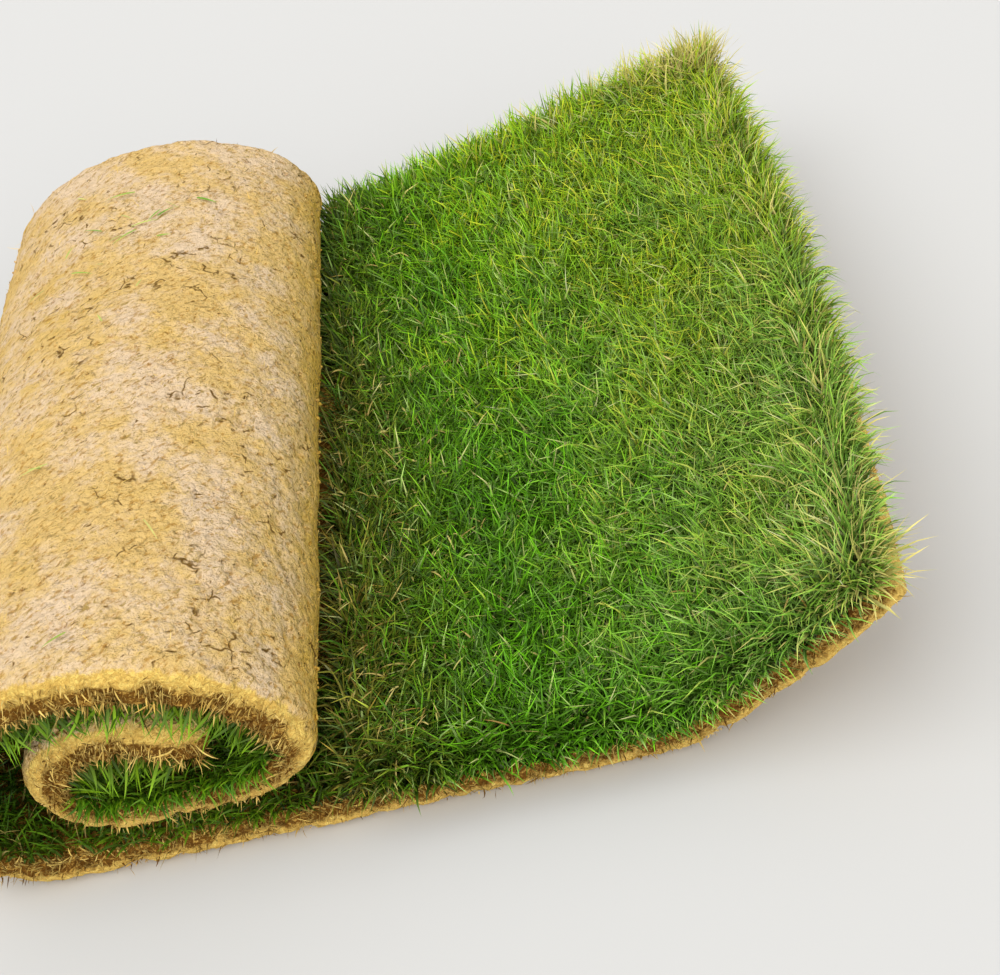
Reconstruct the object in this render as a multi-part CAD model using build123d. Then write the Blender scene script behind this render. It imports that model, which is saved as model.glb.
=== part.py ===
from build123d import *
from math import cos, pi, radians, sin
from types import SimpleNamespace
import os

# Roll of turf, in millimetres: one cut strip of lawn, rolled up with its soil outside and its grass
# inside, and still open at its laid-out end. +X runs along the laid-out end, away from the roll,
# +Y runs along the roll from its near end to its far end, and +Z is up. The strip lies on z = 0.
# A strip this limp never rolls up evenly, so most sizes have one value at the near end and one at
# the far end, written (near, far), and every cross-section between them is worked out from the two.

# The cut strip. The sward is as high as its blades close up, and their tips stand out of it
STRIP_WIDTH = 400.0
MAT_THICKNESS = 18.0
SWARD_HEIGHT = 22.0
EDGE_CRUMBLE_WIDTH = 6.0
EDGE_CRUMBLE_DEPTH = 4.0

# How much the strip swells and sinks on its way from the near end to the far end, and how often
SWARD_SWELL = 1.8
SWARD_WAVES = 3.5
BACK_SWELL = 1.2
BACK_WAVES = 2.5

# The layers that the roll stacks up from the floor, between one mat and the next
SQUEEZED_UNDER_ROLL = (7.0, 6.0)
SWARD_IN_CURL = (7.0, 5.0)
CURL_HOLLOW = (14.0, 10.0)
GAP_OVER_CURL = (14.0, 7.0)

# The roll. At its near end its right side stands at x = 0 and its left side at x = -ROLL_WIDTH
ROLL_WIDTH = 174.0
ROLL_LEAN = (0.0, 7.5)
CROWN_FROM_LEFT = 89.0
LEFT_HEEL = 54.0
LEFT_SIDE_HEIGHT_SHARE = 0.46
SWARD_AT_LEFT = 20.0
GAP_BEFORE_CURL = 39.0
RIGHT_HEEL_CORE = 15.0
SWARD_AT_RIGHT = 12.0
BRUSHED_UP_ANGLE = 25.0

# The inner curl, where the strip was first folded over
CURL_NOSE_CORE = 9.0
CURL_END_ANGLE = 30.0
CURL_TIP_SAG = 0.6
TIP_ROUNDING = 4.0

# The laid-out end: flat on the floor, then lifting in two bends, the near edge late and steeply
# and the far edge early and gently
FLAT_RUN = (122.0, 10.0)
FIRST_BEND_RADIUS = (80.0, 150.0)
FIRST_BEND_ANGLE = (31.0, 11.0)
LIFTED_LENGTH = (88.0, 203.0)
END_ANGLE = (45.0, 14.5)
LIFT_EASING = 1.7
END_CUT_BULGE = 9.0

# Clearances, and the skin under the mat that a block below the floor trims off
SWARD_CLEARANCE = 0.3
LOOSE_CLEARANCE = 1.0
CURL_CLEARANCE = (1.0, 3.0)
FLOOR_TRIM = 0.5
FLOOR_BLOCK = (700.0, 900.0, 40.0)

# The number of spans between cross-sections, from one crumbled edge to the other
SPANS = 7


def between(pair, share):
    """The value at a share of the way from the near end to the far end."""
    return pair[0] + (pair[1] - pair[0]) * share


def swell(height, waves, share):
    """A rise and fall of that height, nothing at either end of the roll."""
    return height * sin(2 * pi * waves * share)


def station(y):
    """All the sizes of the cross-section at y."""
    share = y / STRIP_WIDTH
    eased = 1 - (1 - share) ** LIFT_EASING
    bulge = END_CUT_BULGE * (1 - (2 * share - 1) ** 2)
    s = SimpleNamespace(y=y)
    s.under_roll = between(SQUEEZED_UNDER_ROLL, share)
    s.in_curl = between(SWARD_IN_CURL, share)
    s.hollow = between(CURL_HOLLOW, share)
    s.over_curl = between(GAP_OVER_CURL, share) + swell(BACK_SWELL, BACK_WAVES, share)
    s.sward = SWARD_HEIGHT + swell(SWARD_SWELL, SWARD_WAVES, share)

    s.bottom_z = MAT_THICKNESS + s.under_roll
    s.curl_top_z = s.bottom_z + 2 * MAT_THICKNESS + 2 * s.in_curl + s.hollow
    s.curl_mid_z = (s.bottom_z + s.curl_top_z) / 2
    s.top_z = s.curl_top_z + s.over_curl + MAT_THICKNESS

    s.right_x = between(ROLL_LEAN, share)
    s.left_x = s.right_x - ROLL_WIDTH
    s.left_z = s.top_z * LEFT_SIDE_HEIGHT_SHARE
    s.crown_x = s.left_x + CROWN_FROM_LEFT
    s.heel_x = s.left_x + LEFT_HEEL
    s.toe_x = s.right_x - RIGHT_HEEL_CORE - SWARD_AT_RIGHT - MAT_THICKNESS
    s.curl_left_x = s.left_x + MAT_THICKNESS + GAP_BEFORE_CURL
    s.curl_x = s.curl_left_x + MAT_THICKNESS + s.in_curl + CURL_NOSE_CORE
    s.curl_right_x = s.right_x - MAT_THICKNESS - SWARD_AT_RIGHT - between(CURL_CLEARANCE, share)
    sag = CURL_TIP_SAG * s.hollow / (1 - sin(radians(CURL_END_ANGLE)))
    s.tip_radius = MAT_THICKNESS + s.in_curl + sag

    s.flat_x = between(FLAT_RUN, share)
    s.bend_radius = between(FIRST_BEND_RADIUS, share)
    s.bend_angle = between(FIRST_BEND_ANGLE, eased)
    s.end_angle = between(END_ANGLE, eased)
    s.lift_length = between(LIFTED_LENGTH, share) + bulge
    s.lift_radius = s.lift_length / radians(s.end_angle - s.bend_angle)
    return s


def bent(center, radius_x, radius_z, start, sweep):
    """An elliptical bend, wound clockwise as the strip is."""
    return EllipticalCenterArc(center, radius_x, radius_z, start, arc_size=-sweep)


def tail_line(s, depth, rise=0.0):
    """The lifted end, from its cut to the flat run, depth mm into the mat and rise mm above it."""
    first = Vector(s.flat_x, s.bend_radius + rise)
    slope = radians(s.bend_angle)
    second = first + Vector(sin(slope), -cos(slope)) * (s.bend_radius - s.lift_radius)
    outer = s.lift_radius - depth
    inner = s.bend_radius - depth
    swing = s.end_angle - s.bend_angle
    return [
        bent(second, outer, outer, 270 + s.end_angle, swing),
        bent(first, inner, inner, 270 + s.bend_angle, s.bend_angle),
    ]


def roll_line(s, depth):
    """The line through the whole roll, from its left heel to the tip of its inner curl.

    depth gives how far inside the soil face the line lies at each of the places that it passes.
    """
    left_rx = s.heel_x - s.left_x - depth.left
    right_rx = s.right_x - s.toe_x - depth.right
    nose_rx = s.curl_x - s.curl_left_x - depth.nose
    top_rz = s.top_z - depth.top
    return [
        bent((s.heel_x, s.left_z), left_rx, s.left_z - depth.floor, 270, 90),
        bent((s.crown_x, s.left_z), s.crown_x - s.left_x - depth.left, top_rz - s.left_z, 180, 90),
        bent((s.crown_x, s.curl_mid_z), s.right_x - s.crown_x - depth.right, top_rz - s.curl_mid_z, 90, 90),
        bent((s.toe_x, s.curl_mid_z), right_rx, s.curl_mid_z - s.bottom_z - depth.under, 0, 90),
        Line((s.toe_x, s.bottom_z + depth.under), (s.curl_x, s.bottom_z + depth.under)),
        bent((s.curl_x, s.curl_mid_z), nose_rx, s.curl_mid_z - s.bottom_z - depth.under, 270, 90),
        bent((s.curl_x, s.curl_mid_z), nose_rx, s.curl_top_z - s.curl_mid_z - depth.over, 180, 90),
        bent(
            (s.curl_x, s.curl_top_z - s.tip_radius),
            s.curl_right_x - s.curl_x - depth.tip,
            s.tip_radius - depth.over,
            90,
            90 - CURL_END_ANGLE,
        ),
    ]


def even_depth(depth, on_floor=None):
    """One depth all through the roll, with its own value where the strip lies on the floor."""
    floor = depth if on_floor is None else on_floor
    return SimpleNamespace(
        floor=floor, left=depth, top=depth, right=depth, under=depth, nose=depth, over=depth, tip=depth
    )


def strip_line(s, depths):
    """One face of the mat, from the cut of the laid-out end to the tip of the inner curl."""
    tail = tail_line(s, depths.floor)
    flat = Line(tail[-1] @ 1, (s.heel_x, depths.floor))
    return [*tail, flat, *roll_line(s, depths)]


def rounded_end(start, finish, bulge):
    """An end cap that swells past the straight line from start to finish."""
    across = (finish - start).normalized()
    outward = Vector(-across.Y, across.X)
    return ThreePointArc(start, (start + finish) * 0.5 + outward * bulge, finish)


def closed_outline(s, one_face, other_face, tip_bulge=0.0):
    """Joins two lines that run side by side at both their ends, and stands the outline up at y."""
    if tip_bulge:
        tip = rounded_end(one_face[-1] @ 1, other_face[-1] @ 1, tip_bulge)
    else:
        tip = Line(one_face[-1] @ 1, other_face[-1] @ 1)
    cut = Line(other_face[0] @ 0, one_face[0] @ 0)
    outline = Wire([*one_face, tip, *other_face, cut])
    return Plane.XZ.offset(-s.y) * outline


def mat_outline(y):
    """The soil mat's section, with its soil face eaten away a little at both ends of the roll."""
    s = station(y)
    crumbled = y in (0.0, STRIP_WIDTH)
    soil_depths = even_depth(EDGE_CRUMBLE_DEPTH) if crumbled else even_depth(0.0, on_floor=-FLOOR_TRIM)
    crown_depths = even_depth(MAT_THICKNESS)
    return closed_outline(s, strip_line(s, soil_depths), strip_line(s, crown_depths), TIP_ROUNDING)


def sward_outline(y):
    """The grass on the mat's inner face: tall on the laid-out end and pressed down in the roll."""
    s = station(y)
    roots = MAT_THICKNESS + SWARD_CLEARANCE
    squeezed = s.bottom_z - SWARD_CLEARANCE
    side = s.right_x - s.toe_x + SWARD_CLEARANCE
    brushed_up = bent(
        (s.toe_x, s.curl_mid_z), side, s.curl_mid_z - squeezed, -BRUSHED_UP_ANGLE, 90 - BRUSHED_UP_ANGLE
    )
    tail = tail_line(s, roots, s.sward - SWARD_CLEARANCE)
    tips = SimpleNamespace(
        floor=squeezed,
        left=MAT_THICKNESS + SWARD_AT_LEFT,
        top=MAT_THICKNESS + s.over_curl - LOOSE_CLEARANCE,
        right=MAT_THICKNESS + SWARD_AT_RIGHT,
        under=MAT_THICKNESS + s.in_curl,
        nose=MAT_THICKNESS + s.in_curl,
        over=MAT_THICKNESS + s.in_curl,
        tip=MAT_THICKNESS + s.in_curl,
    )
    beside_roll = Line(tail[-1] @ 1, brushed_up @ 0)
    under_roll = Line(brushed_up @ 1, (s.heel_x, squeezed))
    tip_line = [*tail, beside_roll, brushed_up, under_roll, *roll_line(s, tips)]
    return closed_outline(s, strip_line(s, even_depth(roots)), tip_line)


def stations():
    """Where the cross-sections stand: one at each end, one past each crumbled edge, and a few between."""
    inner = STRIP_WIDTH - 2 * EDGE_CRUMBLE_WIDTH
    spread = [EDGE_CRUMBLE_WIDTH + inner * i / SPANS for i in range(SPANS + 1)]
    return [0.0, *spread, STRIP_WIDTH]


def make_soil_mat():
    """Roots, thatch and soil: one band, lofted through its sections and trimmed flat by the floor."""
    mat = Solid.make_loft([mat_outline(y) for y in stations()], ruled=True)
    below_floor = Box(*FLOOR_BLOCK, align=(Align.CENTER, Align.CENTER, Align.MAX))
    return mat - below_floor


def make_grass():
    """The sward as one closed body, on the mat's inner face from the cut to the curl's tip."""
    return Solid.make_loft([sward_outline(y) for y in stations()], ruled=True)


soil_mat = make_soil_mat()
grass = make_grass()

# The origin is under the middle of the whole strip, on the floor
reach = soil_mat.bounding_box().add(grass.bounding_box())
to_middle = Location((-(reach.min.X + reach.max.X) / 2, -STRIP_WIDTH / 2, 0))

os.makedirs("parts", exist_ok=True)
export_step(to_middle * soil_mat, "parts/soil_mat.step")
export_step(to_middle * grass, "parts/grass.step")
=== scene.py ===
from math import radians

import bmesh
import bpy
import numpy as np
from mathutils import Matrix, Vector, noise
from mathutils.bvhtree import BVHTree


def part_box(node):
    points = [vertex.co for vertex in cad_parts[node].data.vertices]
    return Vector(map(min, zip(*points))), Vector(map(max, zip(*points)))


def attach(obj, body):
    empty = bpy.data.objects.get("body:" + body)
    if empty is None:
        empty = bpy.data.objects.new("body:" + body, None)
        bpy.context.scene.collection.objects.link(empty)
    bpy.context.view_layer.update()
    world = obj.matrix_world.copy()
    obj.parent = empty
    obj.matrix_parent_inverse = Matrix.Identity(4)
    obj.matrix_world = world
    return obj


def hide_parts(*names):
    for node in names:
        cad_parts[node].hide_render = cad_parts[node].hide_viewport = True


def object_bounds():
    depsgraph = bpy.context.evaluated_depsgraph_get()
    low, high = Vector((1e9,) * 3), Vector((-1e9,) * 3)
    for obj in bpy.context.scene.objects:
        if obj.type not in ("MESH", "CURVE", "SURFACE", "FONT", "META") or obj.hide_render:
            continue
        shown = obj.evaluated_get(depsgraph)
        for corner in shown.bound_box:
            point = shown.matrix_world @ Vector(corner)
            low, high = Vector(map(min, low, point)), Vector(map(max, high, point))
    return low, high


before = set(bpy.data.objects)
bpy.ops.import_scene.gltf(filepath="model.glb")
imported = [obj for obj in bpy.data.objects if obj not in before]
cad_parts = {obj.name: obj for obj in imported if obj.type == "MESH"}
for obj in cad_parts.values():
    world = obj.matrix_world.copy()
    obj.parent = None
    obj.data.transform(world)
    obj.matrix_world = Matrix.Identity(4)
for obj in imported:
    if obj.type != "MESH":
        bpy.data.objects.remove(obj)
cad_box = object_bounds()

# The camera looks down on the near end of the roll, with the laid-out end running to the right.
# It is tilted, as a hand-held one is, so the roll leans to the left in the picture.
camera_place = Vector((0.1000, -0.6069, 0.5434))
look_down = radians(42.64)
turn_left = radians(5.46)
tilt = radians(-16.19)
camera = bpy.data.cameras.new("camera")
camera.sensor_fit = "HORIZONTAL"
camera.sensor_width = 36.0
camera.lens = 59.4
camera_stand = bpy.data.objects.new("camera", camera)
bpy.context.scene.collection.objects.link(camera_stand)
camera_stand.matrix_world = (
    Matrix.Translation(camera_place)
    @ Matrix.Rotation(turn_left, 4, "Z")
    @ Matrix.Rotation(radians(90) - look_down, 4, "X")
    @ Matrix.Rotation(tilt, 4, "Z")
)
bpy.context.scene.camera = camera_stand


# The mat is a strip of light loam held together by roots: dry, crumbly and cracked on its soil
# face, dark and fibrous on its crown face, where the grass grows, and torn ragged where it was cut.
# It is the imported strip, remeshed fine enough to carry lumps, pits, cracks and a ragged edge.
MAT_CELL = 0.0023
MAT_KEPT = 0.49
LUMP_SIZE = 0.030
LUMP_HEIGHT = 0.0009
CRUMB_SIZE = 0.0070
CRUMB_HEIGHT = 0.0007
PIT_SIZE = 0.010
PIT_DEPTH = 0.0016
CRACK_SPACING = 0.040
CRACK_DEPTH = 0.0018
RAGGED_WIDTH = 0.010
RAGGED_SIZE = 0.008
RAGGED_DEPTH = 0.0032
FOLD_LIMIT = radians(32)

half_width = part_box("soil_mat")[1].y
mat_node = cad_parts["soil_mat"]
sward_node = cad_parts["grass"]


def merged_copy(node):
    """A closed bmesh of a node's loose triangles."""
    bm = bmesh.new()
    bm.from_mesh(node.data)
    bmesh.ops.remove_doubles(bm, verts=bm.verts, dist=1e-6)
    bm.normal_update()
    return bm


def smooth_patch(bm, seed, facing):
    """The triangles reached from the one nearest seed that faces that way, up to the folds."""
    likely = [f for f in bm.faces if f.normal.dot(facing) > 0.95]
    first = min(likely, key=lambda f: (f.calc_center_median() - seed).length)
    patch, fresh = {first}, [first]
    while fresh:
        face = fresh.pop()
        for edge in face.edges:
            for other in edge.link_faces:
                if other not in patch and face.normal.angle(other.normal, 0.0) < FOLD_LIMIT:
                    patch.add(other)
                    fresh.append(other)
    return corners_of(patch)


def corners_of(faces):
    """The corners of triangles as an array."""
    return np.array([[v.co[:] for v in f.verts] for f in faces])


def tree_of(triangles):
    """A search tree over an array of triangles."""
    corners = triangles.reshape(-1, 3).tolist()
    return BVHTree.FromPolygons(corners, [(i, i + 1, i + 2) for i in range(0, len(corners), 3)])


def unit(rows):
    """Rows scaled to length 1."""
    return rows / np.maximum(np.linalg.norm(rows, axis=-1, keepdims=True), 1e-12)


def normals_of(triangles):
    """The normal of each triangle."""
    return unit(np.cross(triangles[:, 1] - triangles[:, 0], triangles[:, 2] - triangles[:, 0]))


def between(pair, shares):
    """Values from pair[0] to pair[1]."""
    return pair[0] + (pair[1] - pair[0]) * shares


mat_mesh = merged_copy(mat_node)
soil_face = smooth_patch(mat_mesh, Vector((0.0, 0.0, 0.0)), Vector((0, 0, -1)))
crown_face = smooth_patch(mat_mesh, Vector((0.05, -0.05, 0.018)), Vector((0, 0, 1)))
whole_mat = corners_of(mat_mesh.faces)
soil_tree = tree_of(soil_face)
crown_tree = tree_of(crown_face)
mat_tree = tree_of(whole_mat)


def share_to_crown(points):
    """How far each point lies from the soil face towards the crown face, from 0 to 1."""
    shares = []
    for p in points.tolist():
        to_soil = soil_tree.find_nearest(p)[3]
        to_crown = crown_tree.find_nearest(p)[3]
        shares.append(to_soil / max(to_soil + to_crown, 1e-9))
    return np.array(shares)


def waves(points, size, octaves=1, shift=0.0):
    """Fractal noise at each point, about -1 to 1, with bumps of that size in metres."""
    away = Vector((shift, 1.7 * shift, -0.6 * shift))
    return np.array([noise.fractal(Vector(p) / size + away, 1.0, 2.0, octaves) for p in points.tolist()])


def link(name, data):
    """An object at the origin that rides with the part."""
    piece = bpy.data.objects.new(name, data)
    bpy.context.scene.collection.objects.link(piece)
    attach(piece, "root")
    return piece


def applied(piece):
    """Gives the piece the mesh that its modifiers make, and drops them."""
    made = piece.evaluated_get(bpy.context.evaluated_depsgraph_get())
    piece.data, old = bpy.data.meshes.new_from_object(made), piece.data
    piece.modifiers.clear()
    bpy.data.meshes.remove(old)


def vertex_rows(mesh, attribute):
    """One row of three numbers for each vertex."""
    rows = np.empty(len(mesh.vertices) * 3)
    mesh.vertices.foreach_get(attribute, rows)
    return rows.reshape(-1, 3)


mat = link("soil_mat_skin", bpy.data.meshes.new("soil_mat_skin"))
mat_mesh.to_mesh(mat.data)
mat_mesh.free()
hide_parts("soil_mat")
cells = mat.modifiers.new("cells", "REMESH")
cells.mode = "VOXEL"
cells.voxel_size = MAT_CELL
applied(mat)

places = vertex_rows(mat.data, "co")
outwards = vertex_rows(mat.data, "normal")
crown_share = share_to_crown(places)
soil_side = np.clip(1.0 - crown_share * 1.6, 0.0, 1.0)
to_end = half_width - np.abs(places[:, 1])
ragged = np.clip(1.0 - to_end / RAGGED_WIDTH, 0.0, 1.0)

pits = np.clip((waves(places, PIT_SIZE, 2, 9.0) - 0.45) / 0.35, 0.0, 1.0)
crack_lines = np.clip(1.0 - np.abs(waves(places, CRACK_SPACING, 3, 14.0)) / 0.045, 0.0, 1.0)
crack_zone = np.clip(waves(places, 0.09, 1, 21.0) * 3.0, 0.0, 1.0)
lift = LUMP_HEIGHT * waves(places, LUMP_SIZE, 3)
lift += CRUMB_HEIGHT * waves(places, CRUMB_SIZE, 3, 5.0)
lift -= PIT_DEPTH * pits + CRACK_DEPTH * crack_lines * crack_zone * soil_side
lift *= 0.35 + 0.65 * np.maximum(soil_side, ragged)
places += outwards * lift[:, None]
notch = np.maximum(waves(places, RAGGED_SIZE, 3, 30.0) + 0.25, 0.0)
places[:, 1] -= np.sign(places[:, 1]) * RAGGED_DEPTH * notch * ragged
places[:, 2] = np.maximum(places[:, 2], 0.0)
mat.data.vertices.foreach_set("co", places.ravel())
mat.data.update()

hidden = mat.vertex_groups.new(name="under the sward")
hidden.add(np.nonzero((crown_share > 0.97) & (to_end > 0.006))[0].tolist(), 1.0, "REPLACE")
thin = mat.modifiers.new("thin", "DECIMATE")
thin.ratio = MAT_KEPT
thin.vertex_group = hidden.name
applied(mat)
shares = mat.data.attributes.new("crown_share", "FLOAT", "POINT")
shares.data.foreach_set("value", share_to_crown(vertex_rows(mat.data, "co")))
mat.data.shade_smooth()

LOAM = (0.83, 0.56, 0.20, 1)
PALE_CRUST = (0.87, 0.65, 0.42, 1)
OCHRE = (0.79, 0.52, 0.14, 1)
# Painted shade: a deeper, more saturated ochre for the low sides of the roll, where they lie in shade.
LOW_SIDE_SHADE_OCHRE = (0.84, 0.53, 0.08, 1)
# Painted shade: the brown of small flecks, for the shade in pores and beside crumbs.
PORE_SHADOW = (0.50, 0.33, 0.10, 1)
# Painted shade: the dark brown in cracks and pits, for the shade inside them.
CRACK_AND_PIT_SHADOW = (0.19, 0.10, 0.02, 1)
CUT_OCHRE = (0.98, 0.70, 0.18, 1)
CUT_BROWN = (0.78, 0.49, 0.11, 1)
THATCH_BROWN = (0.20, 0.085, 0.010, 1)
THATCH_STRAW = (0.68, 0.40, 0.08, 1)
GRAIN_SHADE = (0.68, 0.56, 0.36, 1)
NONE = (0, 0, 0, 1)
WHITE = (1, 1, 1, 1)


class Paint:
    """A node material being made, with the mixing steps that the materials share."""

    def __init__(self, name):
        self.material = bpy.data.materials.new(name)
        self.material.use_nodes = True
        self.tree = self.material.node_tree
        self.shader = self.tree.nodes["Principled BSDF"]
        self.place = self.add("ShaderNodeTexCoord").outputs["Object"]

    def add(self, kind, settings=None, **inputs):
        """A new node with its settings and input values."""
        node = self.tree.nodes.new(kind)
        for key, value in (settings or {}).items():
            setattr(node, key, value)
        for key, value in inputs.items():
            node.inputs[key.replace("_", " ")].default_value = value
        return node

    def join(self, start, end):
        """Joins an output to an input."""
        self.tree.links.new(start, end)

    def mixed(self, factor, low, high, how="MIX"):
        """A colour between two, each a colour or a socket."""
        mix = self.add("ShaderNodeMix", {"data_type": "RGBA", "blend_type": how})
        for socket, value in zip((mix.inputs[0], mix.inputs[6], mix.inputs[7]), (factor, low, high)):
            if isinstance(value, (tuple, float)):
                socket.default_value = value
            else:
                self.join(value, socket)
        return mix.outputs[2]

    def stepped(self, value, low, high):
        """A value stretched so that low becomes 0 and high becomes 1."""
        smooth = {"interpolation_type": "SMOOTHSTEP"}
        span = self.add("ShaderNodeMapRange", smooth, From_Min=low, From_Max=high)
        self.join(value, span.inputs["Value"])
        return span.outputs["Result"]

    def speckle(self, scale, detail, roughness=0.6, distortion=0.0, place=None):
        """Noise with that many features to the metre."""
        field = self.add("ShaderNodeTexNoise", Scale=scale, Detail=detail, Roughness=roughness)
        field.inputs["Distortion"].default_value = distortion
        self.join(place or self.place, field.inputs["Vector"])
        return field.outputs["Fac"]

    def slanted(self, turn, stretch):
        """Places for a pattern that is drawn out along one level direction."""
        mapping = self.add("ShaderNodeMapping", {"vector_type": "TEXTURE"})
        mapping.inputs["Rotation"].default_value = (0.0, 0.0, turn)
        mapping.inputs["Scale"].default_value = (stretch, 1.0, 1.0)
        self.join(self.place, mapping.inputs["Vector"])
        return mapping.outputs["Vector"]

    def summed(self, first, second, weight):
        """first plus second times weight."""
        total = self.add("ShaderNodeMath", {"operation": "MULTIPLY_ADD"})
        self.join(second, total.inputs[0])
        total.inputs[1].default_value = weight
        self.join(first, total.inputs[2])
        return total.outputs[0]

    def crackle(self, scale, wander):
        """The distance to the edge of crumbs, that many to the metre, with wandering outlines."""
        shove = self.add("ShaderNodeTexNoise", Scale=scale * 0.8, Detail=3.0)
        self.join(self.place, shove.inputs["Vector"])
        moved = self.add("ShaderNodeVectorMath", {"operation": "MULTIPLY_ADD"})
        self.join(shove.outputs["Color"], moved.inputs[0])
        moved.inputs[1].default_value = (wander, wander, wander)
        self.join(self.place, moved.inputs[2])
        crumb = self.add("ShaderNodeTexVoronoi", {"feature": "DISTANCE_TO_EDGE"}, Scale=scale)
        self.join(moved.outputs[0], crumb.inputs["Vector"])
        return crumb.outputs["Distance"]

    def finish(self, colour, roughness, gloss):
        """Joins the colour to the shader."""
        self.join(colour, self.shader.inputs["Base Color"])
        self.shader.inputs["Roughness"].default_value = roughness
        self.shader.inputs["Specular IOR Level"].default_value = gloss
        return self.material

    def raised(self, relief, distance):
        """Joins a relief of that height to the shader."""
        bump = self.add("ShaderNodeBump", Strength=1.0, Distance=distance)
        self.join(relief, bump.inputs["Height"])
        self.join(bump.outputs["Normal"], self.shader.inputs["Normal"])


paint = Paint("dry_loam_and_thatch")
dragged = paint.slanted(radians(42), 2.0)
crust = paint.mixed(paint.stepped(paint.speckle(20, 9, 0.74), 0.42, 0.60), LOAM, PALE_CRUST)
crust = paint.mixed(paint.stepped(paint.speckle(34, 9, 0.78), 0.50, 0.72), crust, OCHRE)
height = paint.add("ShaderNodeSeparateXYZ")
paint.join(paint.place, height.inputs[0])
# Painted shade: towards the floor, from a height of about 0.115 m down to 0.07 m, the crust turns the deeper
# ochre. The same mask also adds pores and pits lower down.
low_side = paint.stepped(paint.summed(height.outputs["Z"], paint.speckle(90, 6, 0.8), 0.05), 0.115, 0.070)
crust = paint.mixed(low_side, crust, LOW_SIDE_SHADE_OCHRE)
# Painted shade: the low places of the grain noise, which also drives the bump, are darkened.
grains = paint.speckle(460, 4, 0.62, 0.2, dragged)
grain_shade = paint.mixed(paint.stepped(grains, 0.34, 0.47), GRAIN_SHADE, WHITE)
crust = paint.mixed(1.0, crust, grain_shade, "MULTIPLY")
# Painted shade: the cracks, in patches, are filled with dark brown for the shade inside them.
cracks = paint.stepped(paint.crackle(75, 0.018), 0.05, 0.01)
cracks = paint.mixed(cracks, NONE, paint.stepped(paint.speckle(110, 2), 0.50, 0.58))
cracks = paint.mixed(cracks, NONE, paint.stepped(paint.speckle(26, 2), 0.50, 0.60))
crust = paint.mixed(cracks, crust, CRACK_AND_PIT_SHADOW)
# Painted shade: small brown flecks for the shade in pores and beside crumbs, more of them on the low side.
pores = paint.stepped(paint.summed(paint.speckle(430, 3, 0.6, 0.5, dragged), low_side, 0.05), 0.58, 0.70)
crust = paint.mixed(pores, crust, PORE_SHADOW)
# Painted shade: pits are darkened with the same dark brown, more of them on the low side.
pits = paint.stepped(paint.summed(paint.speckle(290, 3, 0.6, 0.6, dragged), low_side, 0.04), 0.64, 0.74)
crust = paint.mixed(pits, crust, CRACK_AND_PIT_SHADOW)
fibres = paint.stepped(paint.speckle(430, 4, 0.65, 1.2), 0.44, 0.62)
cut = paint.mixed(fibres, CUT_BROWN, CUT_OCHRE)
thatch = paint.mixed(paint.stepped(paint.speckle(380, 3, 0.6, 1.5), 0.50, 0.64), THATCH_BROWN, THATCH_STRAW)
share = paint.add("ShaderNodeAttribute", {"attribute_name": "crown_share"}).outputs["Fac"]
share = paint.summed(share, paint.speckle(170, 4, 0.7), 0.5)
whole = paint.mixed(paint.stepped(share, 0.34, 0.46), crust, cut)
whole = paint.mixed(paint.stepped(share, 0.68, 0.82), whole, thatch)
paint.raised(paint.summed(grains, paint.speckle(230, 3, 0.6), 1.1), 0.0038)
soil = paint.finish(whole, 0.95, 0.10)
mat.data.materials.clear()
mat.data.materials.append(soil)


# The sward grows out of the crown face: thousands of blades, each a ribbon that bends as it rises.
# On the laid-out end they stand free and lean in tufts; in the roll they are pressed between turns.
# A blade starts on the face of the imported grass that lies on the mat.
ROOT_COUNT = 370000
ROOM_LIMIT = 0.060
STRAY = 0.017
DEEP_GREEN = np.array((0.085, 0.250, 0.005))
MID_GREEN = np.array((0.138, 0.435, 0.004))
LIME_GREEN = np.array((0.490, 0.840, 0.022))
SAGE_GREEN = np.array((0.470, 0.870, 0.180))
STRAW = np.array((0.98, 0.83, 0.27))
# Partly painted highlight: pale tips for pale blades and for the sky's sheen on blades.
PALE_AND_SHEEN_GREEN = np.array((0.62, 0.91, 0.26))
BROWN_BLADE = np.array((0.38, 0.20, 0.045))
draw = np.random.default_rng(7)

sward_mesh = merged_copy(sward_node)
root_face = smooth_patch(sward_mesh, Vector((0.05, -0.05, 0.0183)), Vector((0, 0, -1)))
sward_mesh.free()


def scattered(triangles, number):
    """Random places on triangles, even by area, with each triangle's normal."""
    a, b, c = triangles[:, 0], triangles[:, 1], triangles[:, 2]
    areas = np.linalg.norm(np.cross(b - a, c - a), axis=1)
    picked = draw.choice(len(triangles), number, p=areas / areas.sum())
    u, v = draw.random(number), draw.random(number)
    over = u + v > 1
    u[over], v[over] = 1 - u[over], 1 - v[over]
    points = a[picked] + (b - a)[picked] * u[:, None] + (c - a)[picked] * v[:, None]
    return points, normals_of(triangles)[picked]


def room_above(points, ups):
    """How far each point can rise before it meets the mat again."""
    skip = 0.002
    rooms = []
    for p, up in zip(points, ups):
        reached = mat_tree.ray_cast(Vector(p + up * skip), Vector(up), ROOM_LIMIT)[3]
        rooms.append(ROOM_LIMIT if reached is None else reached + skip)
    return np.array(rooms)


def kept_near(points):
    """Draws points back that stray past the cut edges or below the floor."""
    across = np.abs(points[:, 1])
    past = np.maximum(across - half_width, 0.0)
    points[:, 1] = np.sign(points[:, 1]) * (across - past + STRAY * np.tanh(past / STRAY))
    past = np.maximum(points[:, 0] - cad_box[1].x, 0.0)
    points[:, 0] += STRAY * np.tanh(past / STRAY) - past
    points[:, 2] = np.maximum(points[:, 2], 0.0006)
    return points


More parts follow.
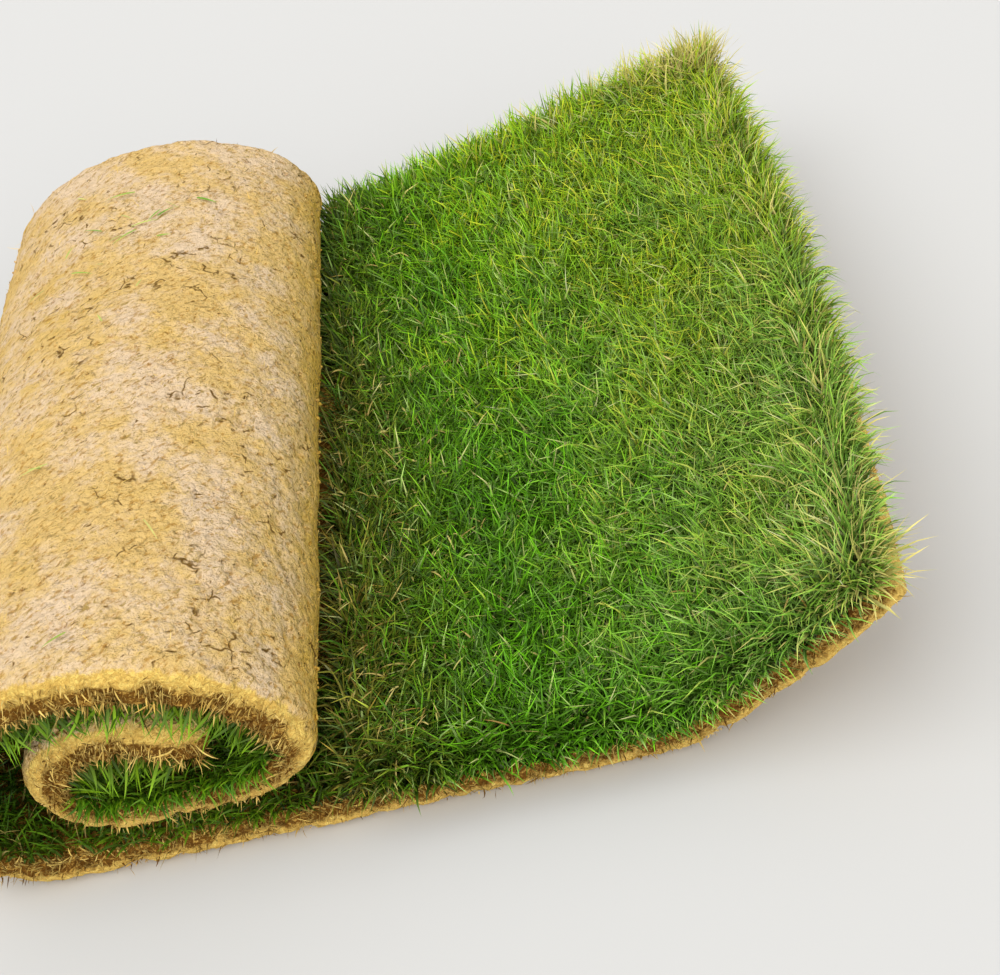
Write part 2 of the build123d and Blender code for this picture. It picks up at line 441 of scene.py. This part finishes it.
def ribbons(name, roots, ups, leans, lengths, widths, bends, colours, segments=4, twist=0.5, curve=1.0):
    """A joined mesh of tapering ribbons.

    Each leaves its root bends[0] away from up towards its lean and bends on to bends[1], most of
    it near the tip where curve is above 1. colours holds the colours at the root and at the tip.
    """
    number = len(roots)
    side = unit(np.cross(ups, leans))
    turns = draw.normal(0.0, twist, number)
    spin = draw.normal(0.0, twist, number)
    at = roots.copy()
    rows, uvs, shades = [], [], []
    for k in range(segments + 1):
        t = k / segments
        angle = between(bends, t**curve)[:, None]
        heading = ups * np.cos(angle) + leans * np.sin(angle)
        turned = (turns + spin * t)[:, None]
        across = side * np.cos(turned) + unit(np.cross(heading, side)) * np.sin(turned)
        if k:
            at = at + heading * (lengths / segments)[:, None]
        shade = between(colours, t**1.7)
        if k == segments:
            rows.append(at)
            uvs.append((0.5, 1.0))
            shades.append(shade)
        else:
            half = (widths * (0.62 + 0.38 * np.sin(np.pi * min(t * 1.5, 1.0)) - 0.25 * t))[:, None] / 2
            rows += [at - across * half, at + across * half]
            uvs += [(0.0, t), (1.0, t)]
            shades += [shade, shade]
    per_blade = 2 * segments + 1
    points = kept_near(np.stack(rows, axis=1).reshape(-1, 3))
    tints = np.stack(shades, axis=1).reshape(-1, 3)
    starts = (np.arange(number) * per_blade)[:, None]
    faces = []
    for k in range(segments - 1):
        faces += (starts + np.array((2 * k, 2 * k + 1, 2 * k + 3, 2 * k + 2))).tolist()
    faces += (starts + np.array((per_blade - 3, per_blade - 2, per_blade - 1))).tolist()
    data = bpy.data.meshes.new(name)
    data.from_pydata(points.tolist(), [], faces)
    corners = np.empty(len(data.loops), dtype=np.int64)
    data.loops.foreach_get("vertex_index", corners)
    layer = data.uv_layers.new(name="blade")
    layer.data.foreach_set("uv", np.array(uvs)[corners % per_blade].ravel())
    tint = data.color_attributes.new("tint", "FLOAT_COLOR", "POINT")
    tint.data.foreach_set("color", np.hstack([tints, np.ones((len(tints), 1))]).ravel())
    data.shade_smooth()
    return link(name, data)


def along_surface(ups, wanted):
    """The wanted directions laid flat on the surface."""
    return unit(wanted - ups * np.sum(ups * wanted, axis=1, keepdims=True))


def tinted(name, roughness, gloss, vein_light, mottling):
    """A material for ribbons that takes its colour from each ribbon, veined and mottled."""
    paint = Paint(name)
    ribbon = paint.add("ShaderNodeAttribute", {"attribute_name": "tint"}).outputs["Color"]
    stretch = paint.add("ShaderNodeMapping", Scale=(1.0, 0.06, 1.0))
    paint.join(paint.add("ShaderNodeUVMap", {"uv_map": "blade"}).outputs["UV"], stretch.inputs["Vector"])
    veins = paint.add("ShaderNodeTexNoise", {"noise_dimensions": "2D"}, Scale=9.0, Detail=2.0)
    paint.join(stretch.outputs["Vector"], veins.inputs["Vector"])
    mottle = paint.mixed(paint.stepped(paint.speckle(90, 3), 0.35, 0.75), WHITE, mottling)
    colour = paint.mixed(1.0, ribbon, mottle, "MULTIPLY")
    vein = paint.stepped(veins.outputs["Fac"], 0.48, 0.72)
    colour = paint.mixed(vein, colour, vein_light, "ADD")
    return paint.finish(colour, roughness, gloss)


grass = tinted("grass_blade", 0.48, 0.22, (0.035, 0.08, 0.005, 1), (0.60, 0.66, 0.50, 1))


def grown(piece):
    """Finishes a piece of the sward."""
    piece.data.materials.append(grass)
    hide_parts("grass")
    return piece


all_roots, into_mat = scattered(root_face, ROOT_COUNT)
all_ups = -into_mat
rooms = room_above(all_roots, all_ups)
on_top = all_ups[:, 2] > 0.5
free = on_top & (rooms > 0.045) & (all_roots[:, 0] > -0.030)
brushed = on_top & (all_roots[:, 0] > -0.062) & (all_roots[:, 0] < -0.020)

cut_ends = whole_mat[np.abs(normals_of(whole_mat)[:, 1]) > 0.9]
laid_cut = whole_mat[whole_mat[:, :, 0].min(axis=1) > 0.175]
cut_normals = normals_of(laid_cut)
laid_cut = laid_cut[(cut_normals[:, 0] > 0.55) & (np.abs(cut_normals[:, 1]) < 0.5)]
cut_tree = tree_of(laid_cut)
to_cut = np.array([cut_tree.find_nearest(p)[3] for p in all_roots.tolist()])
to_side = half_width - np.abs(all_roots[:, 1])
free_places = draw.permutation(np.nonzero(free)[0])
far_part = np.clip(all_roots[:, 1] / 0.12, 0.0, 1.0)
bleached = 0.65 * far_part * np.exp(-((to_cut / 0.045) ** 2 + (to_side / 0.018) ** 2))
bleached += 0.25 * far_part * np.exp(-((to_cut / 0.016) ** 2))
bleached += 0.10 * (1.0 - far_part) * np.exp(-((to_cut / 0.016) ** 2))


def sward_colour(points, seeds):
    """The green where each blade stands: deeper and darker by the roll, brighter and yellower to the far
    right. This is partly the sward's own colour and partly painted shade by the roll and painted light on
    the open end.
    """
    drift = waves(points, 0.04, 2, 40.0)
    across = (points[:, 0] + 0.04) / 0.25
    along = (points[:, 1] + 0.2) / 0.4
    # Partly painted light and shade: bright rises to the right and to the far side, and is held down close
    # to the roll.
    bright = 1.00 * across + 0.36 * along * np.clip(3.0 * across, 0.0, 1.0) - 0.07
    bright = np.clip(bright + 0.22 * drift + 0.45 * (seeds - 0.5), 0.0, 2.0)
    low = between((DEEP_GREEN[None], MID_GREEN[None]), np.clip(bright / 0.50, 0, 1)[:, None])
    lime = np.clip(0.35 + along * 0.9 + 0.30 * drift, 0, 1)[:, None]
    high = between((SAGE_GREEN[None], LIME_GREEN[None]), lime)
    green = between((low, high), np.clip((bright - 0.35) / 0.60, 0, 1)[:, None])
    # Painted shade: the green darkens towards the roll, for its shadow on the sward beside it.
    green = green * between((0.66, 1.0), np.clip((points[:, 0] + 0.035) / 0.05, 0.0, 1.0))[:, None]
    worn = np.clip(1.0 - (points[:, 0] + 0.035) / 0.07, 0.0, 1.0)
    worn *= np.clip(0.80 - 1.6 * points[:, 1], 0.45, 1.0) * draw.random(len(points))
    return between((green, BROWN_BLADE[None]), 0.85 * worn[:, None])


def tufts(points):
    """A heading for each blade: loose tufts that lean one way, with much scatter."""
    turn = waves(points, 0.020, 1, 50.0) * 3.5 + waves(points, 0.09, 1, 60.0) * 2.0
    turn += draw.normal(0, 1.7, len(points))
    return np.stack([np.cos(turn), np.sin(turn), np.zeros(len(points))], axis=1)


def standing(name, chosen, lengths, widths, lean, bend, shade, pull=None, segments=4, dry=0.0):
    """Blades on the laid-out end.

    lean and bend are the mean angles at the root and added on, and dry is the share of straw.
    shade scales the brightness of the group's colour. Below 1 it is painted shade, as for the low
    under-layer and the blades beneath the roll's flank. Above 1 it is painted light, as for the tall blades
    and those at the cut edges.
    """
    roots = all_roots[chosen]
    number = len(roots)
    ups = unit(all_ups[chosen] * 0.5 + np.array((0, 0, 0.5)))
    wanted = tufts(roots)
    if pull is not None:
        wanted = wanted * 0.7 + pull
    leans = along_surface(ups, wanted)
    start = np.abs(draw.normal(lean, 0.22, number))
    end = start + np.abs(draw.normal(bend, 0.40, number))
    tips = sward_colour(roots, draw.random(number))
    # Partly painted highlight: a share of the blades, larger to the right, get pale whitish-green tips.
    # These stand for pale blades and for the sky's sheen on them.
    pale = draw.random(number) < 0.05 + 0.9 * np.clip(roots[:, 0] + 0.03, 0.0, 0.15)
    tips[pale] = tips[pale] * 0.35 + PALE_AND_SHEEN_GREEN * 0.55
    # Each blade's brightness is a random tone times the group's painted shade or light.
    tone_and_shade = np.exp(np.clip(draw.normal(-0.08, 0.66, number), -1.6, 1.0)) * shade
    tips = np.minimum(tips * tone_and_shade[:, None], 0.95)
    # Painted shade: each blade darkens to almost black at its root, deep in the sward.
    bases = tips * 0.04 + np.array((0.005, 0.007, 0.001))
    dried = draw.random(number) < dry + bleached[chosen]
    tips[dried] = STRAW * between((0.65, 1.05), draw.random((dried.sum(), 1)))
    bases[dried] = tips[dried] * 0.4
    size = between(lengths, draw.random(number))
    width = between(widths, draw.random(number)) * (1.0 - 0.25 * np.clip(roots[:, 0] / 0.08 - 1.0, 0.0, 1.0))
    shape = (size, width, (start, end), (bases, tips), segments)
    return grown(ribbons(name, roots - ups * 0.001, ups, leans, *shape, curve=2.0))


UNDER_COUNT = 8000
MAIN_COUNT = 28000
LONG_COUNT = 3500
first, second = UNDER_COUNT, UNDER_COUNT + MAIN_COUNT
third, fourth = second + MAIN_COUNT, second + MAIN_COUNT + LONG_COUNT
standing("sward_under", free_places[:first], (0.017, 0.024), (0.0013, 0.0021), 0.30, 0.8, 0.40, segments=3)
upright = free_places[first:second]
standing("sward_main_a", upright, (0.027, 0.033), (0.0012, 0.0023), 0.10, 0.9, 0.97, segments=3)
bent_over = free_places[second:third]
standing("sward_main_b", bent_over, (0.026, 0.034), (0.0012, 0.0022), 0.16, 1.2, 1.07, segments=3, dry=0.01)
standing("sward_long", free_places[third:fourth], (0.029, 0.035), (0.0012, 0.0020), 0.12, 1.0, 1.3)

# At the cut edges the blades lean out over the edge, the longest at the far side and the near
# corner, and beside the roll those that grow under its flank are brushed out from beneath it.
over_cut = draw.permutation(np.nonzero(free & (to_cut < 0.013))[0])[:3200]
nearness = np.clip(-all_roots[over_cut, 1] / half_width, 0.0, 1.0)
outward = np.array((1.0, 0.0, 0.0)) * (0.40 + 0.40 * nearness[:, None])
reach = (0.014 + 0.004 * nearness, 0.024 + 0.004 * nearness)
standing("cut_edge_blades", over_cut, reach, (0.0014, 0.0024), 0.65, 1.0, 1.40, outward, dry=0.03)
over_near = draw.permutation(np.nonzero(free & (to_side < 0.009) & (all_roots[:, 1] < 0))[0])[:1800]
outward = np.array((0.0, -1.0, 0.0))
standing("near_edge_blades", over_near, (0.018, 0.026), (0.0011, 0.0020), 0.30, 1.0, 0.95, outward, dry=0.04)
over_far = draw.permutation(np.nonzero(free & (to_side < 0.016) & (all_roots[:, 1] > 0))[0])[:2900]
outward = np.array((0.0, 0.7, 0.0))
standing("far_edge_blades", over_far, (0.024, 0.039), (0.0013, 0.0023), 0.30, 0.75, 1.15, outward, dry=0.08)
by_flank = draw.permutation(np.nonzero(brushed)[0])[:5500]
outward = np.array((1.2, 0.0, 0.0))
standing("flank_blades", by_flank, (0.010, 0.019), (0.0010, 0.0018), 0.75, 0.45, 0.60, outward)

# Dead and straw-coloured blades lie through the sward, most of them beside the roll, where the
# turf was pressed flat, and stand out in tufts at the two corners of the laid-out end.
straw_places = free_places[fourth : fourth + 14000]
straw_points = all_roots[straw_places]
near_roll = np.clip(1.0 - (straw_points[:, 0] + 0.03) / 0.080, 0.0, 1.0)
chance = 0.02 + 0.50 * near_roll * np.clip(0.8 - 3.0 * straw_points[:, 1], 0.2, 1.0)
roots = straw_points[draw.random(len(straw_places)) < chance]
number = len(roots)
ups = np.tile((0.0, 0.0, 1.0), (number, 1))
leans = unit(draw.normal(0.0, 1.0, (number, 3)) * (1, 1, 0))
raised = between((0.004, 0.021), draw.random(number))
lying = np.abs(draw.normal(1.05, 0.30, number))
dead = between((BROWN_BLADE[None], STRAW[None]), draw.random(number)[:, None])
grown(
    ribbons(
        "straw_blades",
        roots + ups * raised[:, None],
        ups,
        leans,
        between((0.005, 0.013), draw.random(number)),
        between((0.0005, 0.0011), draw.random(number)),
        (lying, lying + draw.normal(0.8, 0.5, number)),
        (dead * 0.7, dead),
        4,
    )
)


def corner_tuft(name, end, number, heading, spread, lengths):
    """Bleached blades that spray out of one corner of the laid-out end, most of them along heading."""
    weight = np.exp(-((to_cut / spread[0]) ** 2 + (to_side / spread[1]) ** 2))
    weight *= free & (all_roots[:, 1] * end > 0)
    roots = all_roots[draw.choice(len(weight), number, replace=False, p=weight / weight.sum())]
    ups = np.tile((0.0, 0.0, 1.0), (number, 1))
    leans = unit(draw.normal(0.0, 0.8, (number, 3)) * (1, 1, 0) + np.array(heading))
    start = np.abs(draw.normal(0.45, 0.35, number))
    tips = STRAW * between((0.70, 1.0), draw.random((number, 1)))
    size = between(lengths, draw.random(number))
    width = between((0.0009, 0.0017), draw.random(number))
    bends = (start, start + draw.normal(0.6, 0.6, number))
    grown(ribbons(name, roots, ups, leans, size, width, bends, (tips * 0.7, tips)))


corner_tuft("far_corner_straw", 1, 300, (0.3, 0.9, 0.0), (0.050, 0.016), (0.022, 0.042))
corner_tuft("near_corner_straw", -1, 70, (1.0, -0.6, 0.0), (0.008, 0.012), (0.014, 0.032))

# In the roll the blades are pressed flat between one turn and the next. They show at both ends,
# where they hang into the gap above the inner curl and fill the hollow inside it.
END_DEPTH = 0.075
pressed = ~free & (to_side < END_DEPTH)
pressed_places = draw.permutation(np.nonzero(pressed)[0])


def pressed_blades(name, end, number):
    """Blades at one end of the roll. end is -1 for the near one and 1 for the far one."""
    chosen = pressed_places[all_roots[pressed_places, 1] * end > 0]
    chance = np.clip(1.1 - to_side[chosen] / END_DEPTH, 0.12, 1.0)
    chosen = chosen[draw.random(len(chosen)) < chance][:number]
    roots = all_roots[chosen]
    ups = all_ups[chosen]
    total = len(roots)
    size = np.minimum(between((0.009, 0.020), draw.random(total)), 0.008 + 0.62 * rooms[chosen])
    flat = np.arccos(np.clip(rooms[chosen] * 0.75 / size, 0.12, 0.97))
    leans = along_surface(ups, draw.normal(0.0, 1.0, (total, 3)) + np.array((0.0, 0.60 * end, -0.30)))
    start = np.clip(flat - 0.30, 0.05, 1.4) * draw.random(total) * 1.3
    finish = np.clip(flat + 0.55, 0.4, 2.0)
    # Painted shade: the further a blade stands in from the roll's end, the darker and deeper green its tip,
    # and every blade darkens towards its root.
    lit = np.clip(1.0 - to_side[chosen] / 0.030, 0.0, 1.0)
    hanging = np.where(ups[:, 2] < 0, 1.0, 0.45)
    fresh = (draw.random(total) * (0.1 + 0.9 * lit) * hanging)[:, None]
    tips = between((DEEP_GREEN[None] * 0.7, LIME_GREEN[None]), fresh)
    tips = tips * between((0.4, 1.3), draw.random(total))[:, None]
    old = draw.random(total) < 0.06
    tips[old] = between((BROWN_BLADE[None], STRAW[None]), draw.random(old.sum())[:, None])
    bases = tips * 0.30 + np.array((0.012, 0.010, 0.002))
    width = between((0.0007, 0.0016), draw.random(total))
    width[old] *= 0.6
    return grown(ribbons(name, roots - ups * 0.001, ups, leans, size, width, (start, finish), (bases, tips)))


def mouth_blades(name, end, number):
    """Blades that droop over the cut thatch at the bottom of the hollow, at one end of the roll."""
    chosen = pressed & (to_side < 0.007) & (all_roots[:, 1] * end > 0) & (all_ups[:, 2] > 0.2)
    chosen &= all_roots[:, 2] > 0.030
    chosen = draw.permutation(np.nonzero(chosen)[0])[:number]
    ups, total = all_ups[chosen], len(chosen)
    leans = along_surface(ups, draw.normal(0.0, 0.5, (total, 3)) + np.array((0.0, 1.2 * end, 0.0)))
    start = np.abs(draw.normal(0.55, 0.35, total))
    # Painted shade: these blades stay dark, mostly deep green and at most 0.6 of the lime, and darker still
    # at the root, as they lie at the bottom of the hollow.
    tips = between((DEEP_GREEN[None], LIME_GREEN[None] * 0.6), draw.random((total, 1)) ** 2.5)
    size = between((0.007, 0.017), draw.random(total))
    width = between((0.0008, 0.0016), draw.random(total))
    bends = (start, start + np.abs(draw.normal(1.3, 0.5, total)))
    grown(ribbons(name, all_roots[chosen], ups, leans, size, width, bends, (tips * 0.4, tips)))


pressed_blades("roll_blades_near", -1, 8600)
pressed_blades("roll_blades_far", 1, 5500)
mouth_blades("mouth_blades_near", -1, 480)
mouth_blades("mouth_blades_far", 1, 450)

# Where the strip was cut, roots and old stems stick out of it: short ochre rootlets in the soil,
# and in the thatch dark brown threads with pale stems among them that point to the grass.
THREAD_DARK = np.array((0.15, 0.062, 0.008))
THREAD_PALE = np.array((0.96, 0.70, 0.20))
ROOTLET = np.array((0.98, 0.71, 0.22))
thread = tinted("root_thread", 0.85, 0.10, NONE, (0.85, 0.74, 0.50, 1))


def threads(name, triangles, number, spread):
    """Short stiff threads that stick out of a cut face."""
    roots, outward = scattered(triangles, number)
    shares = share_to_crown(roots)
    to_crown = np.array([crown_tree.find_nearest(p)[0][:] for p in roots.tolist()]) - roots
    leans = along_surface(outward, unit(to_crown) * 0.9 + draw.normal(0.0, 0.7, (number, 3)))
    start = np.abs(draw.normal(spread, 0.35, number))
    in_soil = shares < 0.42 + draw.normal(0.0, 0.10, number)
    pale = draw.random(number)[:, None] ** 1.5
    colour = between((THREAD_DARK[None], THREAD_PALE[None]), pale)
    colour[in_soil] = ROOTLET * between((0.70, 1.05), draw.random((in_soil.sum(), 1)))
    size = between((0.0020, 0.0075), draw.random(number) ** 1.8)
    size[in_soil] *= 0.55
    width = between((0.0003, 0.0009), draw.random(number))
    bends = (start, start + draw.normal(0.2, 0.7, number))
    shape = (size, width, bends, (colour * 0.75, colour), 3, 1.0)
    piece = ribbons(name, roots - outward * 0.0012, outward, leans, *shape)
    piece.data.materials.append(thread)


threads("end_threads", cut_ends, 15000, 0.95)
threads("laid_cut_threads", laid_cut, 3500, 0.85)

# Longer pale stems stand out of the thatch of the roll's ends, crossing each other.
stem_roots, outward = scattered(cut_ends, 6000)
stem_share = share_to_crown(stem_roots)
kept = (stem_share > 0.55) & (draw.random(6000) < np.where(stem_roots[:, 0] < -0.03, 0.34, 0.10))
stem_roots, outward = stem_roots[kept], outward[kept]
number = len(stem_roots)
to_crown = np.array([crown_tree.find_nearest(p)[0][:] for p in stem_roots.tolist()]) - stem_roots
leans = along_surface(outward, unit(to_crown) * 0.8 + draw.normal(0.0, 0.6, (number, 3)))
start = np.abs(draw.normal(1.0, 0.25, number))
pale = between((THREAD_PALE[None] * 0.45, THREAD_PALE[None] * 1.15), draw.random((number, 1)))
stems = ribbons(
    "pale_stems",
    stem_roots - outward * 0.001,
    outward,
    leans,
    between((0.004, 0.011), draw.random(number) ** 1.6),
    between((0.0004, 0.0008), draw.random(number)),
    (start, start + draw.normal(0.3, 0.8, number)),
    (pale * 0.8, pale),
    4,
    0.8,
)
stems.data.materials.append(thread)

# Crumbs of dry loam sit loose on the soil face, with fine root hairs lying among them.
open_soil = soil_face[soil_face[:, :, 2].max(axis=1) > 0.004]


def crumbs_on(name, triangles, number, radii):
    """Little broken lumps, each a distorted icosphere, joined into one mesh."""
    lump = bmesh.new()
    bmesh.ops.create_icosphere(lump, subdivisions=1, radius=1.0)
    shape = np.array([v.co[:] for v in lump.verts])
    sides = np.array([[v.index for v in f.verts] for f in lump.faces])
    lump.free()
    points, outward = scattered(triangles, number)
    points, outward = points[points[:, 2] > 0.002], outward[points[:, 2] > 0.002]
    total = len(points)
    size = between(radii, draw.random(total) ** 2.5)[:, None, None]
    rough = shape[None] * (1.0 + draw.normal(0.0, 0.22, (total, len(shape), 1)))
    rough = rough * (0.7 + 0.6 * draw.random((total, 1, 3)))
    corners = points[:, None] + rough * size + outward[:, None] * size * 0.2
    faces = (sides[None] + (np.arange(total) * len(shape))[:, None, None]).reshape(-1, 3)
    data = bpy.data.meshes.new(name)
    data.from_pydata(corners.reshape(-1, 3).tolist(), [], faces.tolist())
    piece = link(name, data)
    piece.data.materials.append(soil)


crumbs_on("soil_crumbs", open_soil, 2400, (0.0004, 0.0012))
roots, outward = scattered(open_soil, 2200)
number = len(roots)
leans = along_surface(outward, draw.normal(0.0, 1.0, (number, 3)))
lying = np.clip(draw.normal(1.25, 0.25, number), 0.3, 1.6)
pale = ROOTLET * between((0.55, 1.15), draw.random((number, 1)))
hairs = ribbons(
    "root_hairs",
    roots,
    outward,
    leans,
    between((0.002, 0.008), draw.random(number) ** 1.6),
    between((0.00015, 0.0004), draw.random(number)),
    (lying, lying + draw.normal(0.1, 0.5, number)),
    (pale * 0.9, pale),
    3,
)
hairs.data.materials.append(thread)

# A few clippings, green and dry, lie on the back of the roll near its far end.
facing_up = soil_face[(normals_of(soil_face)[:, 2] > 0.75) & (soil_face[:, :, 2].min(axis=1) > 0.08)]
points, outward = scattered(facing_up, 2600)
spread = np.hypot(points[:, 0] + 0.125, points[:, 1] - 0.125)
kept = draw.random(2600) < 0.004 + 0.20 * np.exp(-((spread / 0.030) ** 2))
points, outward = points[kept], outward[kept]
number = len(points)
leans = along_surface(outward, draw.normal(0.0, 1.0, (number, 3)))
colour = between((MID_GREEN[None], STRAW[None]), draw.random((number, 1)))
grown(
    ribbons(
        "clippings",
        points + outward * 0.0012,
        outward,
        leans,
        between((0.006, 0.016), draw.random(number)),
        between((0.0008, 0.0014), draw.random(number)),
        (np.full(number, 1.35), np.full(number, 1.75)),
        (colour * 0.8, colour),
        4,
        0.2,
    )
)

# A plain pale floor, and soft light from the sky and from the upper left. Where the sky itself is
# seen it has about the colour of the lit floor, so that the two meet without a line.
floor_mesh = bmesh.new()
bmesh.ops.create_grid(floor_mesh, x_segments=1, y_segments=1, size=8.0)
floor = bpy.data.objects.new("floor", bpy.data.meshes.new("floor"))
floor_mesh.to_mesh(floor.data)
floor_mesh.free()
bpy.context.scene.collection.objects.link(floor)
pale_floor = Paint("pale_floor")
pale_floor.shader.inputs["Base Color"].default_value = (0.60, 0.595, 0.58, 1)
pale_floor.shader.inputs["Roughness"].default_value = 0.9
floor.data.materials.append(pale_floor.material)


def soft_sun(name, heading, power):
    """A broad soft light from far off, shining along heading."""
    light = bpy.data.lights.new(name, "SUN")
    light.energy = power
    light.angle = radians(55)
    stand = bpy.data.objects.new(name, light)
    bpy.context.scene.collection.objects.link(stand)
    stand.rotation_euler = Vector(heading).to_track_quat("-Z", "Y").to_euler()


soft_sun("key", (0.45, 0.22, -1.0), 1.55)
soft_sun("front_fill", (-0.42, 0.80, -0.60), 1.30)
world = bpy.data.worlds.new("studio")
world.use_nodes = True
rays = world.node_tree.nodes.new("ShaderNodeLightPath").outputs
seen = rays["Is Camera Ray"]
for kind in ("Is Glossy Ray", "Is Transmission Ray"):
    either = world.node_tree.nodes.new("ShaderNodeMath")
    either.operation = "MAXIMUM"
    world.node_tree.links.new(seen, either.inputs[0])
    world.node_tree.links.new(rays[kind], either.inputs[1])
    seen = either.outputs[0]
sky = world.node_tree.nodes.new("ShaderNodeMix")
sky.data_type = "RGBA"
sky.inputs[6].default_value = (0.70, 0.70, 0.70, 1)
sky.inputs[7].default_value = (0.81, 0.805, 0.785, 1)
world.node_tree.links.new(seen, sky.inputs[0])
world.node_tree.links.new(sky.outputs[2], world.node_tree.nodes["Background"].inputs["Color"])
bpy.context.scene.world = world
bpy.context.scene.view_settings.view_transform = "Standard"
